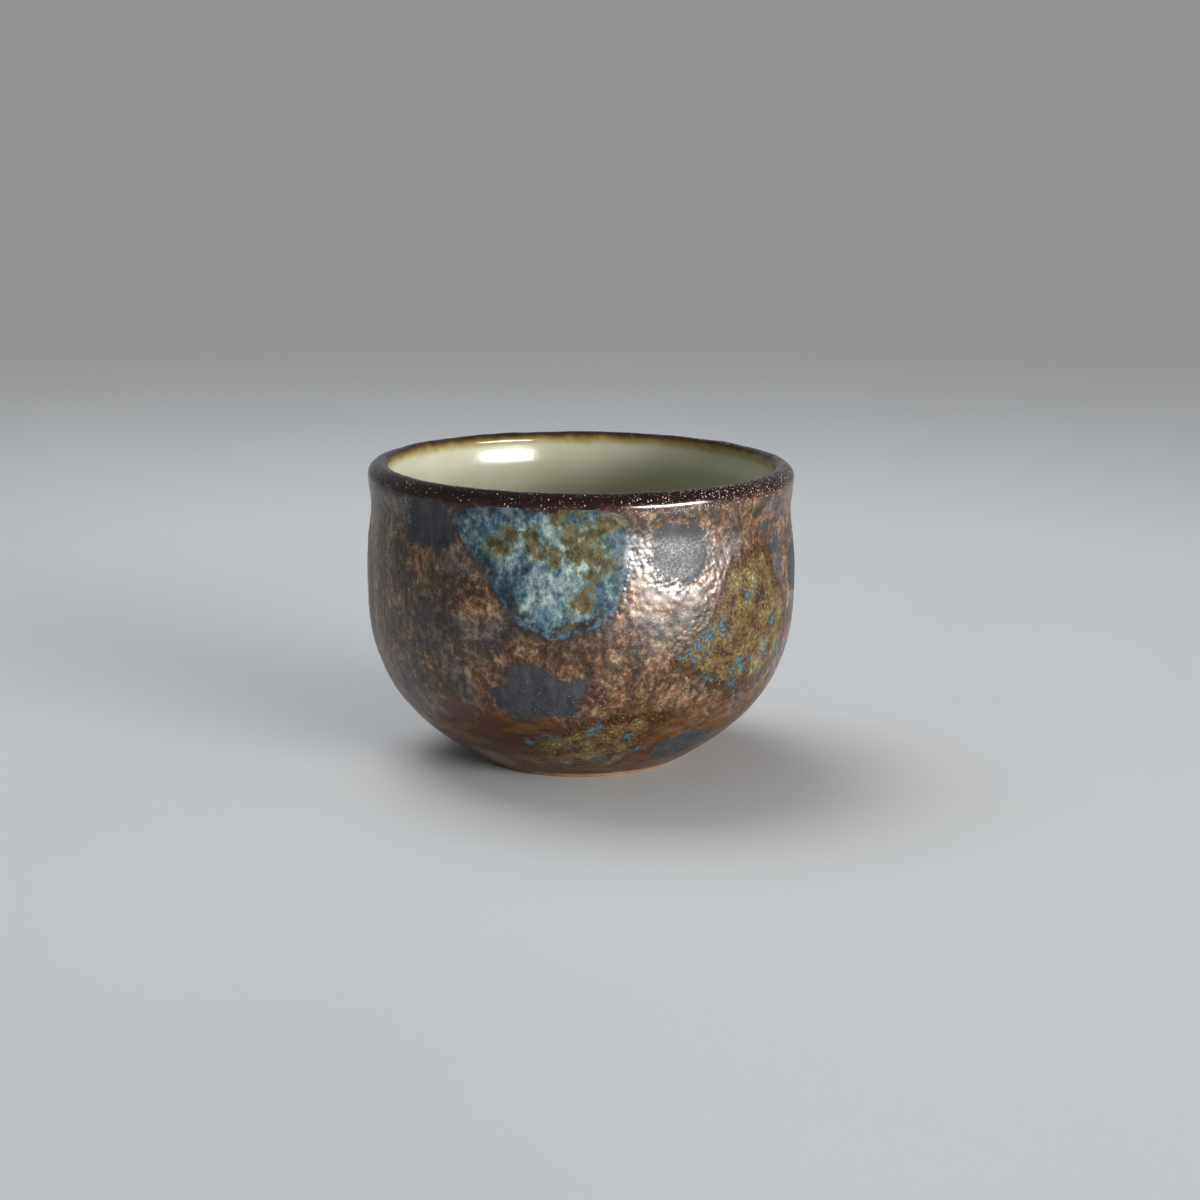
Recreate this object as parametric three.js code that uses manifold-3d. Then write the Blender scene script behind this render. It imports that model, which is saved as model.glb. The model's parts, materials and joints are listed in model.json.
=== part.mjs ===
// A hand-thrown cafe au lait bowl without a handle: a stoneware body with a rolled lip and a turned
// foot, under a pale lining glaze, a dark rim glaze and a bronze outer glaze, with patches of other
// glazes laid over the outside. Millimetres, +Z up, origin under the centre of the foot, front to -Y.
import * as THREE from "three";
import { mergeVertices } from "three/addons/utils/BufferGeometryUtils.js";
import Module from "manifold-3d";

const wasm = await Module();
wasm.setup();

// Foot: a flat ring to stand on, a trimmed edge outside it and a turned recess inside it.
const footRadius = 27.8;
const footRingWidth = 6.5;
const footEdgeRise = 1.4;
const footEdgeFlare = 0.8;
const recessDepth = 2.5;
const recessFillet = 1.5;

// Outside of the clay, from the foot edge up: belly, neck and lip, each measured from the one below.
const bellyRadius = 59.2;
const bellyHeight = 51.2;
const neckRise = 21.3;
const neckInset = 1.3;
const lipRise = 8.0;
const lipFlare = 0.85;
const haunchAngle = 31;

// How far each bend of the wall carries, as a share of the stretch that it belongs to.
const haunchFullness = 0.42;
const bellyFullness = 0.53;
const shoulderFullness = 0.43;
const neckFullness = 0.17;
const throatFullness = 0.6;
const lipFullness = 0.1;

// Thickness of the clay: a round lip, a thinner wall at the belly and a heavier floor.
const lipOuterRound = 2.9;
const lipInnerRound = 1.4;
const wallAtBelly = 4.0;
const floorThickness = 5.5;
const insideFullness = 0.68;
const floorFullness = 0.66;

// Glazes: thickness of a coat and of a patch over it, and the clearance that each one keeps.
const coatThickness = 0.6;
const patchThickness = 0.3;
const seatGap = 0.2;
const bareFootBand = 2.2;
const rimBandOutside = 4.6;
const rimBandInside = 3.2;

// Fineness of the facets: sides round the axis and steps along each stretch of the wall.
const sides = 44;
const coatSteps = 14;
const rimSteps = 7;
const liningSteps = 12;
const filletSteps = 3;
const cornerSteps = 3;
const patchReach = 30;

const neckRadius = bellyRadius - neckInset;
const neckHeight = bellyHeight + neckRise;
const lipRadius = neckRadius + lipFlare;
const lipHeight = neckHeight + lipRise;
const crestRadius = lipRadius - lipOuterRound;
const crestHeight = lipHeight + lipOuterRound;
const innerLipRadius = crestRadius - lipInnerRound;
const innerLipHeight = crestHeight - lipInnerRound;
const innerBellyRadius = bellyRadius - wallAtBelly;
const floorHeight = recessDepth + floorThickness;
const footEdge = new THREE.Vector2(footRadius + footEdgeFlare, footEdgeRise);
const coatTop = seatGap + coatThickness;
const patchSeat = coatTop + seatGap;

// A bend of the wall: it leaves one point and reaches the next along the two given directions.
function bend(start, leave, finish, arrive) {
  return new THREE.CubicBezierCurve(start, start.clone().add(leave), finish.clone().sub(arrive), finish);
}

function quarterRound(radius, height, round, from) {
  return new THREE.EllipseCurve(radius, height, round, round, from, from + Math.PI / 2);
}

// The skin of the clay: one line up the outside, over the lip and down the inside to the floor.
const belly = new THREE.Vector2(bellyRadius, bellyHeight);
const neck = new THREE.Vector2(neckRadius, neckHeight);
const lip = new THREE.Vector2(lipRadius, lipHeight);
const innerLip = new THREE.Vector2(innerLipRadius, innerLipHeight);
const innerBelly = new THREE.Vector2(innerBellyRadius, bellyHeight);
const floorCentre = new THREE.Vector2(0, floorHeight);
const upward = (length) => new THREE.Vector2(0, length);
const haunch = THREE.MathUtils.degToRad(haunchAngle);
const bodyRise = bellyHeight - footEdgeRise;
const haunchReach = haunchFullness * Math.hypot(bellyRadius - footEdge.x, bodyRise);
const leaveFoot = new THREE.Vector2(Math.cos(haunch), Math.sin(haunch)).multiplyScalar(haunchReach);
const innerNeckDrop = innerLipHeight - bellyHeight;
const innerBodyDrop = bellyHeight - floorHeight;
const arriveFloor = new THREE.Vector2(-floorFullness * innerBellyRadius, 0);
const skin = new THREE.CurvePath();
skin.add(bend(footEdge, leaveFoot, belly, upward(bellyFullness * bodyRise)));
skin.add(bend(belly, upward(shoulderFullness * neckRise), neck, upward(neckFullness * neckRise)));
skin.add(bend(neck, upward(throatFullness * lipRise), lip, upward(lipFullness * lipRise)));
skin.add(quarterRound(crestRadius, lipHeight, lipOuterRound, 0));
skin.add(quarterRound(crestRadius, innerLipHeight, lipInnerRound, Math.PI / 2));
skin.add(bend(innerLip, upward(-innerNeckDrop / 3), innerBelly, upward(-innerNeckDrop / 3)));
skin.add(bend(innerBelly, upward(-insideFullness * innerBodyDrop), floorCentre, arriveFloor));
const stretchEnds = skin.getCurveLengths();
const skinLength = stretchEnds[stretchEnds.length - 1];
const crestAlong = stretchEnds[3];

// A point of the section, so far along the skin and lifted so far off the clay.
function liftedPoint(along, lift) {
  const point = skin.getPoint(along / skinLength);
  const heading = skin.getTangent(along / skinLength);
  return new THREE.Vector2(point.x + lift * heading.y, point.y - lift * heading.x);
}

function spread(from, to, steps) {
  return Array.from({ length: steps + 1 }, (_, step) => from + ((to - from) * step) / steps);
}

// Where one coat ends and the next begins; all pieces share these stops, so that they nest.
const coatStart = bareFootBand;
const rimStart = crestAlong - rimBandOutside;
const liningStart = crestAlong + rimBandInside;
const coatLength = rimStart - coatStart;
const coatStops = spread(coatStart, rimStart, coatSteps);
const rimStops = spread(rimStart, liningStart, rimSteps);
const liningStops = spread(liningStart, skinLength, liningSteps);

// A coat stops short of its neighbour by half the seat gap at each end that meets one.
function trimmed(stops, trimFirst, trimLast) {
  const last = stops.length - 1;
  const kept = [...stops];
  kept[0] += trimFirst;
  kept[last] -= trimLast;
  return kept;
}

function turned(profile) {
  const geometry = new THREE.LatheGeometry(profile, sides);
  geometry.rotateX(Math.PI / 2);
  return geometry;
}

// A closed ring of glaze that follows the wall between two lifts.
function ringProfile(stops, low, high) {
  const under = stops.map((along) => liftedPoint(along, low));
  const over = stops.map((along) => liftedPoint(along, high));
  return [...over, ...under.reverse(), over[0]];
}

function clayProfile() {
  const ringInner = footRadius - footRingWidth;
  const recessEdge = ringInner - recessFillet;
  const wallStops = [0, ...coatStops, ...rimStops.slice(1), ...liningStops.slice(1, -1)];
  const fillet = spread(0, Math.PI / 2, filletSteps).map(
    (turn) =>
      new THREE.Vector2(
        recessEdge + recessFillet * Math.sin(turn),
        recessDepth - recessFillet * (1 - Math.cos(turn)),
      ),
  );
  return [
    new THREE.Vector2(0, recessDepth),
    ...fillet,
    new THREE.Vector2(ringInner, 0),
    new THREE.Vector2(footRadius, 0),
    ...wallStops.map((along) => liftedPoint(along, 0)),
    floorCentre,
  ];
}

function liningProfile() {
  const stops = trimmed(liningStops, seatGap / 2, 0).slice(0, -1);
  const under = stops.map((along) => liftedPoint(along, seatGap));
  const over = stops.map((along) => liftedPoint(along, coatTop));
  return [
    new THREE.Vector2(0, floorHeight + seatGap),
    ...under.reverse(),
    ...over,
    new THREE.Vector2(0, floorHeight + coatTop),
  ];
}

// Solids for cutting, and back again.
function solidOf(geometry) {
  const bare = geometry.clone();
  bare.deleteAttribute("normal");
  bare.deleteAttribute("uv");
  const merged = mergeVertices(bare, 1e-4);
  const vertProperties = new Float32Array(merged.attributes.position.array);
  const triVerts = new Uint32Array(merged.index.array);
  return new wasm.Manifold(new wasm.Mesh({ numProp: 3, vertProperties, triVerts }));
}

function geometryOf(solid) {
  const mesh = solid.getMesh();
  const geometry = new THREE.BufferGeometry();
  geometry.setAttribute("position", new THREE.BufferAttribute(new Float32Array(mesh.vertProperties), 3));
  geometry.setIndex(new THREE.BufferAttribute(new Uint32Array(mesh.triVerts), 1));
  geometry.computeVertexNormals();
  return geometry;
}

// The layer that the patches are cut from: a thin ring over the whole outer glaze.
const patchStops = trimmed(coatStops, seatGap, seatGap);
const patchLayer = solidOf(turned(ringProfile(patchStops, patchSeat, patchSeat + patchThickness)));

// A patch: its outline is drawn flat, against the wall at a turn from the front and a rise above the
// foot, and is pressed through the layer along the wall's own normal there. Turns are degrees and
// rises are hundredths of the glazed height, so that the patches keep their places on any bowl.
function patchGeometry({ turn, rise, outline }) {
  const along = coatStart + (rise / 100) * coatLength;
  const seat = liftedPoint(along, patchSeat);
  const slope = skin.getTangent(along / skinLength);
  const corners = outline.map(([angle, up]) => {
    const across = seat.x * Math.sin(THREE.MathUtils.degToRad(angle));
    return new THREE.Vector3(across, (up / 100) * coatLength, 0);
  });
  const curve = new THREE.CatmullRomCurve3(corners, true, "centripetal");
  const edge = curve.getPoints(cornerSteps * corners.length);
  const shape = new THREE.Shape(edge.slice(0, -1).map((point) => new THREE.Vector2(point.x, point.y)));
  const cutter = new THREE.ExtrudeGeometry(shape, { depth: 2 * patchReach, bevelEnabled: false });
  cutter.translate(0, 0, -patchReach);
  const facing = THREE.MathUtils.degToRad(turn);
  const outward = new THREE.Vector3(Math.sin(facing), -Math.cos(facing), 0);
  const sideways = new THREE.Vector3(Math.cos(facing), Math.sin(facing), 0);
  const vertical = new THREE.Vector3(0, 0, 1);
  const normal = outward.clone().multiplyScalar(slope.y).addScaledVector(vertical, -slope.x);
  const upslope = outward.clone().multiplyScalar(slope.x).addScaledVector(vertical, slope.y);
  const place = new THREE.Matrix4().makeBasis(sideways, upslope, normal);
  place.setPosition(outward.multiplyScalar(seat.x).addScaledVector(vertical, seat.y));
  cutter.applyMatrix4(place);
  return geometryOf(patchLayer.intersect(solidOf(cutter)));
}

// Glazes and the bare clay.
const finishes = {
  clay: { color: 0xa08264, roughness: 0.85, metalness: 0 },
  lining: { color: 0xc8c8a4, roughness: 0.12, metalness: 0 },
  rim: { color: 0x2a1613, roughness: 0.2, metalness: 0 },
  bronze: { color: 0x5c422c, roughness: 0.35, metalness: 0.3 },
  slate: { color: 0x5a5b61, roughness: 0.5, metalness: 0 },
  cloud: { color: 0x93b3b8, roughness: 0.25, metalness: 0 },
  olive: { color: 0x716230, roughness: 0.3, metalness: 0 },
};

// Patches by name: glaze, turn from the front, rise above the foot, and the corners of the outline as
// turns and rises from there.
const patches = {
  cloud_patch_front: {
    finish: "cloud",
    turn: -9,
    rise: 82.5,
    outline: [
      [-25, 14.5], [-7.5, 17], [13.5, 17], [20.5, 13.5],
      [19.5, -6.5], [11.5, -18], [-4, -19], [-14.5, -4.5],
    ],
  },
  cloud_patch_back: {
    finish: "cloud",
    turn: 166,
    rise: 78,
    outline: [
      [-21.5, 15.5], [2, 18], [22.5, 14.5], [18.5, -4.5],
      [6.5, -20], [-8.5, -17], [-18.5, -2],
    ],
  },
  slate_patch_low_front: {
    finish: "slate",
    turn: -11,
    rise: 46,
    outline: [
      [-8, 6], [3, 6], [5, 3.5], [12, 2], [11, -4.5],
      [7, -10], [-10, -9], [-13, -2], [-8.5, 0],
    ],
  },
  slate_patch_upper_right: {
    finish: "slate",
    turn: 26,
    rise: 86,
    outline: [[-7, 6.5], [4, 9], [8, 5.5], [8, -3.5], [3, -9], [-7, -6.5]],
  },
  slate_patch_upper_left: {
    finish: "slate",
    turn: -43,
    rise: 89.5,
    outline: [[-7, 9], [7, 10], [7.5, -2], [0, -4.5], [-7, -2]],
  },
  slate_patch_far_right: {
    finish: "slate",
    turn: 84,
    rise: 73.5,
    outline: [[-12.5, 5.5], [-3, 8], [10.5, 6.5], [12.5, -2], [5, -8], [-10.5, -6.5]],
  },
  slate_patch_low_right: {
    finish: "slate",
    turn: 37,
    rise: 16.5,
    outline: [
      [-10.5, 1], [-8, 8], [2.5, 9], [13.5, 6.5],
      [10.5, -1], [0, -8], [-6.5, -6.5],
    ],
  },
  slate_patch_back_upper: {
    finish: "slate",
    turn: -144,
    rise: 86,
    outline: [[-8, 9], [5, 9], [8.5, 3.5], [7, -8], [-6, -9], [-8.5, -1]],
  },
  slate_patch_back_low: {
    finish: "slate",
    turn: 138,
    rise: 42.5,
    outline: [[-12, 5.5], [-3, 10], [10, 8], [12, -3.5], [2, -9], [-10, -6.5]],
  },
  olive_patch_right: {
    finish: "olive",
    turn: 52,
    rise: 62.5,
    outline: [
      [4, 22.5], [-12.5, 17], [-17.5, 4.5], [-28, -9], [-17.5, -17],
      [-5.5, -21.5], [7.5, -20], [18.5, -10], [16.5, 3.5], [9.5, 13.5],
    ],
  },
  olive_patch_left: {
    finish: "olive",
    turn: -98,
    rise: 62.5,
    outline: [
      [-19.5, 15.5], [-2, 23.5], [15.5, 19], [23.5, -2],
      [10.5, -19], [-8.5, -21.5], [-22.5, -8],
    ],
  },
  olive_patch_foot_front: {
    finish: "olive",
    turn: 8,
    rise: 20,
    outline: [
      [-27.5, 0], [-16.5, 9], [-2.5, 15.5], [15, 15.5], [22, 12.5],
      [15, 5.5], [11.5, -3.5], [6.5, -13.5], [-11.5, -14.5], [-23, -9],
    ],
  },
  olive_patch_foot_back: {
    finish: "olive",
    turn: -166,
    rise: 20,
    outline: [
      [-28.5, 2], [-11.5, 12.5], [11.5, 10], [28.5, 12.5],
      [31.5, -3.5], [9, -12.5], [-16.5, -11],
    ],
  },
};

const bowl = new THREE.Group();

function addPiece(name, geometry, finish) {
  const piece = new THREE.Mesh(geometry, new THREE.MeshStandardMaterial(finishes[finish]));
  piece.name = name;
  bowl.add(piece);
}

const rimEnds = trimmed(rimStops, seatGap / 2, seatGap / 2);
const coatEnds = trimmed(coatStops, 0, seatGap / 2);
addPiece("clay_body", turned(clayProfile()), "clay");
addPiece("lining_glaze", turned(liningProfile()), "lining");
addPiece("rim_glaze", turned(ringProfile(rimEnds, seatGap, coatTop)), "rim");
addPiece("outer_glaze", turned(ringProfile(coatEnds, seatGap, coatTop)), "bronze");
for (const [name, patch] of Object.entries(patches)) {
  addPiece(name, patchGeometry(patch), patch.finish);
}

export default bowl;
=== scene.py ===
# %% [markdown]
# # A hand-thrown cafe au lait bowl
# The bowl is one thrown pot under several glazes. Each glaze was put on by itself, so each one is a
# piece of its own here too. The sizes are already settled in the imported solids, which load first
# and stay where they are. Everything below is modelled around them, in metres, in the same frame.

# %% Load the solids
import json
import math

import bpy
import numpy as np
from mathutils.bvhtree import BVHTree
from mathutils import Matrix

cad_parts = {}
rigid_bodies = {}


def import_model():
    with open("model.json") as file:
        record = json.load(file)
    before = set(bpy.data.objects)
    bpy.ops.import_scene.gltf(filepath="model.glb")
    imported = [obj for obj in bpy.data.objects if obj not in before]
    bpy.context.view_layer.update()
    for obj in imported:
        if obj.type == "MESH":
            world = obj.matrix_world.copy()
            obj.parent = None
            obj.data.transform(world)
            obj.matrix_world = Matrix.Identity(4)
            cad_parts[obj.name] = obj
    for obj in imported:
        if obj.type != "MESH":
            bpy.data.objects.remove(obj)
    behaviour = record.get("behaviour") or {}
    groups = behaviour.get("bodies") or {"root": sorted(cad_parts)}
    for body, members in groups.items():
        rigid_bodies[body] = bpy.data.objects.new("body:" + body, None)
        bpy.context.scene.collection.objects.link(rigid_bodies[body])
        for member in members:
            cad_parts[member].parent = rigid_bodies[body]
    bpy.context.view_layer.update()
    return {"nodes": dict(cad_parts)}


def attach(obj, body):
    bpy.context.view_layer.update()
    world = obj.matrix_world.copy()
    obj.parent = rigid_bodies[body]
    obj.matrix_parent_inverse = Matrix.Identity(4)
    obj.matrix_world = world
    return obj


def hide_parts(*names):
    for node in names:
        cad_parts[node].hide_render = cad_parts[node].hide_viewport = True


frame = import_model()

nodes = frame["nodes"]
MM = 0.001
TINY = 1e-6

# %% [markdown]
# ## The wall's section
# A turned pot is known from half of its section. The corners of the turned solids that lie on the
# front line are that section, a few millimetres apart. The clay lies under the glazes, so the
# corners of a glaze that are farthest from the clay are the skin that shows. A cubic spline
# through these corners gives back the smooth curve that the potter's rib made.

# %% Read the section off the solids
clay_surface = BVHTree.FromObject(nodes["clay_body"], bpy.context.evaluated_depsgraph_get())
SKIN_FROM_CLAY = 0.5 * MM
WALL_CORNER = 7


def front_line(node):
    corners = np.array([v.co for v in nodes[node].data.vertices])
    on_line = (abs(corners[:, 0]) < TINY) & (corners[:, 1] < TINY)
    radii_heights = np.column_stack((-corners[on_line, 1], corners[on_line, 2]))
    return np.unique(np.round(radii_heights, 7), axis=0)


def skin_of(node):
    line = front_line(node)
    gaps = [clay_surface.find_nearest((0, -radius, height))[3] for radius, height in line]
    return line[np.array(gaps) > SKIN_FROM_CLAY]


outer_skin = skin_of("outer_glaze")
outer_skin = outer_skin[np.argsort(outer_skin[:, 1])]
rim_skin = skin_of("rim_glaze")
lip_centre = (rim_skin[:, 0].mean(), rim_skin[:, 1].min() - 1 * MM)
round_the_lip = np.arctan2(rim_skin[:, 1] - lip_centre[1], rim_skin[:, 0] - lip_centre[0])
rim_skin = rim_skin[np.argsort(round_the_lip)]
lining_skin = skin_of("lining_glaze")
lining_skin = lining_skin[np.argsort(-lining_skin[:, 1])]
skin_corners = np.vstack((outer_skin, rim_skin, lining_skin))
wall_radius, wall_height = outer_skin[WALL_CORNER]
coat_depth = clay_surface.find_nearest((0, -wall_radius, wall_height))[3]
print("skin corners:", len(skin_corners), "glaze stands off the clay by mm", round(coat_depth / MM, 2))


# %% Draw the smooth skin
def spline(knots, values, at):
    gap = np.diff(knots)
    count = len(knots)
    system = np.eye(count)
    right = np.zeros((count, values.shape[1]))
    for row in range(1, count - 1):
        system[row, row - 1:row + 2] = gap[row - 1], 2 * (gap[row - 1] + gap[row]), gap[row]
        slopes = (values[row + 1] - values[row]) / gap[row], (values[row] - values[row - 1]) / gap[row - 1]
        right[row] = 6 * (slopes[0] - slopes[1])
    bend = np.linalg.solve(system, right)
    span = np.clip(np.searchsorted(knots, at) - 1, 0, count - 2)
    width = gap[span][:, None]
    ahead = ((knots[span + 1] - at)[:, None]) / width
    behind = 1 - ahead
    curve = ahead * values[span] + behind * values[span + 1]
    return curve + ((ahead**3 - ahead) * bend[span] + (behind**3 - behind) * bend[span + 1]) * width**2 / 6


knots = np.concatenate(([0], np.cumsum(np.linalg.norm(np.diff(skin_corners, axis=0), axis=1))))
rim_start = len(outer_skin)
lining_start = rim_start + len(rim_skin)
rim_seam = knots[rim_start - 1:rim_start + 1].mean()
lining_seam = knots[lining_start - 1:lining_start + 1].mean()
skin_end = knots[-1]
fine_stops = np.linspace(0, skin_end, 1600)
fine_skin = spline(knots, skin_corners, fine_stops)
crest = fine_stops[fine_skin[:, 1].argmax()]


def stretch(start, end, step, lift=0.0):
    """Points of the skin between two distances along it, lifted off it by a distance or a list of them."""
    stops = np.linspace(start, end, max(2, int(round(abs(end - start) / step)) + 1))
    line = spline(knots, skin_corners, stops)
    nearby = 0.05 * MM
    heading = spline(knots, skin_corners, stops + nearby) - spline(knots, skin_corners, stops - nearby)
    heading /= np.linalg.norm(heading, axis=1)[:, None]
    return line + np.column_stack((heading[:, 1], -heading[:, 0])) * np.reshape(lift, (-1, 1))


print("skin mm:", round(skin_end / MM, 1), "crest at", round(crest / MM, 1))

# %% [markdown]
# ## Turning a coat
# On the wheel a coat is a ring of one section. By hand in Blender, a single vertex is extruded
# from point to point round the closed section, and the chain is spun through one sector. A second
# spin sets copies of that sector round the axis, which is much quicker than one long spin. The
# sectors meet on the same points, so the doubles are merged, and the normals are set outwards
# after that. The side that lies on the clay has few points because nobody sees it.

# %% Spin a closed section
SECTORS = 12
MERGE_WITHIN = 0.004 * MM


def deselect():
    bpy.ops.object.select_all(action="DESELECT")


def pick(piece):
    deselect()
    bpy.context.view_layer.objects.active = piece
    piece.select_set(True)


def turn_piece(name, section, sides):
    deselect()
    bpy.ops.mesh.primitive_plane_add(size=MM)
    piece = bpy.context.object
    piece.name = piece.data.name = name
    bpy.ops.object.mode_set(mode="EDIT")
    bpy.context.tool_settings.mesh_select_mode = (True, False, False)
    bpy.ops.mesh.select_all(action="SELECT")
    bpy.ops.mesh.merge(type="CENTER")
    bpy.ops.transform.translate(value=(section[0][0], 0, section[0][1]))
    for step in np.diff(section, axis=0):
        bpy.ops.mesh.extrude_vertices_move(TRANSFORM_OT_translate={"value": (step[0], 0, step[1])})
    sector = 2 * math.pi / SECTORS
    bpy.ops.mesh.select_all(action="SELECT")
    bpy.ops.mesh.spin(steps=sides // SECTORS, angle=sector, center=(0, 0, 0), axis=(0, 0, 1))
    bpy.ops.mesh.select_all(action="SELECT")
    bpy.ops.mesh.spin(
        steps=SECTORS - 1, angle=2 * math.pi - sector, dupli=True, center=(0, 0, 0), axis=(0, 0, 1)
    )
    bpy.ops.mesh.select_all(action="SELECT")
    bpy.ops.mesh.remove_doubles(threshold=MERGE_WITHIN)
    bpy.ops.mesh.normals_make_consistent(inside=False)
    bpy.ops.object.mode_set(mode="OBJECT")
    print(name, "faces", len(piece.data.polygons))
    return piece


def places(piece):
    flat = np.empty(len(piece.data.vertices) * 3)
    piece.data.vertices.foreach_get("co", flat)
    return flat.reshape(-1, 3)


def move_to(piece, points):
    piece.data.vertices.foreach_set("co", np.ascontiguousarray(points).ravel())
    piece.data.update()


def ease(value, low, high):
    share = np.clip((value - low) / (high - low), 0, 1)
    return share * share * (3 - 2 * share)


print("helpers made for coats of sectors:", SECTORS)

# %% [markdown]
# ## The coats
# The outer coat starts in a rounded bead a little above the foot, where the glaze was wiped back,
# and runs up to the dark lip. The lip glaze goes over the crest, and the lining runs down inside
# to the floor, a little thicker just below the lip, where it slid down while it was wet. Their
# ends meet on the same points, so the joins can't be seen.

# %% Outer coat and lip
COAT_THICKNESS = 0.6 * MM
COAT_SIDES = 552
OUTER_STEP = 0.68 * MM
RIM_STEP = 0.45 * MM
BEAD_RUN = 0.5 * MM
bead = np.linspace(0, 1, 6)
bead_lift = -COAT_THICKNESS * (1 - np.sin(bead * math.pi / 2))
outer_line = np.vstack((
    stretch(-BEAD_RUN, 0, 0.1 * MM, bead_lift),
    stretch(0, rim_seam, OUTER_STEP)[1:],
    stretch(rim_seam, -BEAD_RUN, 9 * MM, -COAT_THICKNESS),
))
outer_glaze = turn_piece("outer_glaze_skin", outer_line, COAT_SIDES)
rim_line = np.vstack((
    stretch(rim_seam, lining_seam, RIM_STEP),
    stretch(lining_seam, rim_seam, 1.5 * MM, -COAT_THICKNESS),
    stretch(rim_seam, rim_seam + MM, MM)[:1],
))
rim_glaze = turn_piece("rim_glaze_roll", rim_line, COAT_SIDES)

# %% Lining
LINING_STEP = 1.2 * MM
LINING_SIDES = 276
LINING_SWELL = 0.8 * MM
lining_length = skin_end - lining_seam
down_the_wall = np.linspace(0, lining_length, int(round(lining_length / LINING_STEP)) + 1)
swollen = ease(down_the_wall, 0, 7 * MM) * (1 - ease(down_the_wall, 8 * MM, 24 * MM))
lining_line = np.vstack((
    stretch(skin_end, lining_seam, 5 * MM, -COAT_THICKNESS),
    stretch(lining_seam, skin_end, LINING_STEP, LINING_SWELL * swollen),
))
lining_line[[0, -1], 0] = 0
lining_glaze = turn_piece("lining_glaze_bowl", lining_line, LINING_SIDES)

# %% [markdown]
# ## The clay body
# Under the glazes is the thrown clay. It only shows at the foot: the flat ring that the bowl
# stands on, the edge that was trimmed with a loop tool, and the turned recess with its rings. The
# rings are part of the section. The two edges of the ring get a small bevel, as a sponge leaves
# them. The rest of the body is there so that the piece is whole.

# %% Foot, recess and wall
FOOT_HEIGHT = 2.6 * MM
FOOT_REACH = 0.0292
RECESS_STEP = 0.3 * MM
RING_PITCH = 1.7
RING_DEPTH = 0.05 * MM
BODY_SIDES = 180
foot_line = front_line("clay_body")
foot_line = foot_line[(foot_line[:, 1] < FOOT_HEIGHT) & (foot_line[:, 0] < FOOT_REACH)]
foot_line = foot_line[np.lexsort((-foot_line[:, 1], foot_line[:, 0]))]
ring_radii = sorted(set(np.round(foot_line[foot_line[:, 1] < TINY][:, 0], 6)))
recess_radii = np.arange(0.0, foot_line[1, 0], RECESS_STEP)
rings = np.sin(recess_radii / MM * 2 * math.pi / RING_PITCH) * ease(recess_radii, 0, 3 * MM)
recess_line = np.column_stack((recess_radii, foot_line[0, 1] + RING_DEPTH * rings))
body_line = np.vstack((recess_line, foot_line[1:], stretch(1.5 * MM, skin_end, 3 * MM, -coat_depth)))
body_line[-1, 0] = 0
clay_body = turn_piece("clay_body_foot", body_line, BODY_SIDES)

# %% Bevel the foot ring
RING_BEVEL = 0.35 * MM
bpy.ops.object.mode_set(mode="EDIT")
bpy.ops.mesh.select_all(action="DESELECT")
bpy.ops.object.mode_set(mode="OBJECT")
body_points = places(clay_body)
body_radius = np.hypot(body_points[:, 0], body_points[:, 1])
off_the_ring = np.min([abs(body_radius - r) for r in ring_radii], axis=0)
on_edge = (abs(body_points[:, 2]) < TINY) & (off_the_ring < 10 * TINY)
clay_body.data.vertices.foreach_set("select", on_edge)
bpy.ops.object.mode_set(mode="EDIT")
bpy.ops.mesh.select_mode(type="VERT")
bpy.ops.mesh.select_mode(type="EDGE")
bpy.ops.mesh.bevel(offset=RING_BEVEL, segments=3, affect="EDGES")
bpy.ops.object.mode_set(mode="OBJECT")
print("foot ring radii mm", [round(r / MM, 2) for r in ring_radii], "faces", len(clay_body.data.polygons))

# %% [markdown]
# ## Patches over the outer coat
# The patches were brushed or trailed over the dry outer coat, so each one follows the wall and
# stands a little proud of it. By hand, the faces of the coat under a patch are duplicated,
# separated and subdivided, and the sheet is lifted towards its middle. Each sheet keeps a margin
# round its patch, up to halfway to the next patch, and remembers, as an attribute, how deep inside
# the patch every point lies. The finish reads that depth for its ragged, run edges, and falls back
# to the outer coat beyond them.

# %% Depth of points inside a patch
SEAT_GAP = 0.2 * MM
MARGIN = 3.2 * MM
LOOK_AROUND = 5 * MM
FACING_OUT = 0.7


def patch_outline(node):
    mesh = nodes[node].data
    mesh.calc_loop_triangles()
    edges = set()
    corners = np.array([v.co for v in mesh.vertices])
    for triangle in mesh.loop_triangles:
        centre = corners[list(triangle.vertices)].mean(axis=0)
        foot = np.array(clay_surface.find_nearest(centre)[0])
        away = (centre - foot) / np.linalg.norm(centre - foot)
        if np.dot(away, triangle.normal) > FACING_OUT:
            ring = [tuple(np.round(corners[i], 6)) for i in triangle.vertices]
            edges.update(zip(ring, ring[1:] + ring[:1]))
    ends = np.array(sorted(pair for pair in edges if (pair[1], pair[0]) not in edges))
    for side in (0, 1):
        feet = np.array([clay_surface.find_nearest(point)[0] for point in ends[:, side]])
        away = ends[:, side] - feet
        ends[:, side] = feet + away / np.linalg.norm(away, axis=1)[:, None] * coat_depth
    return ends


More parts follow.
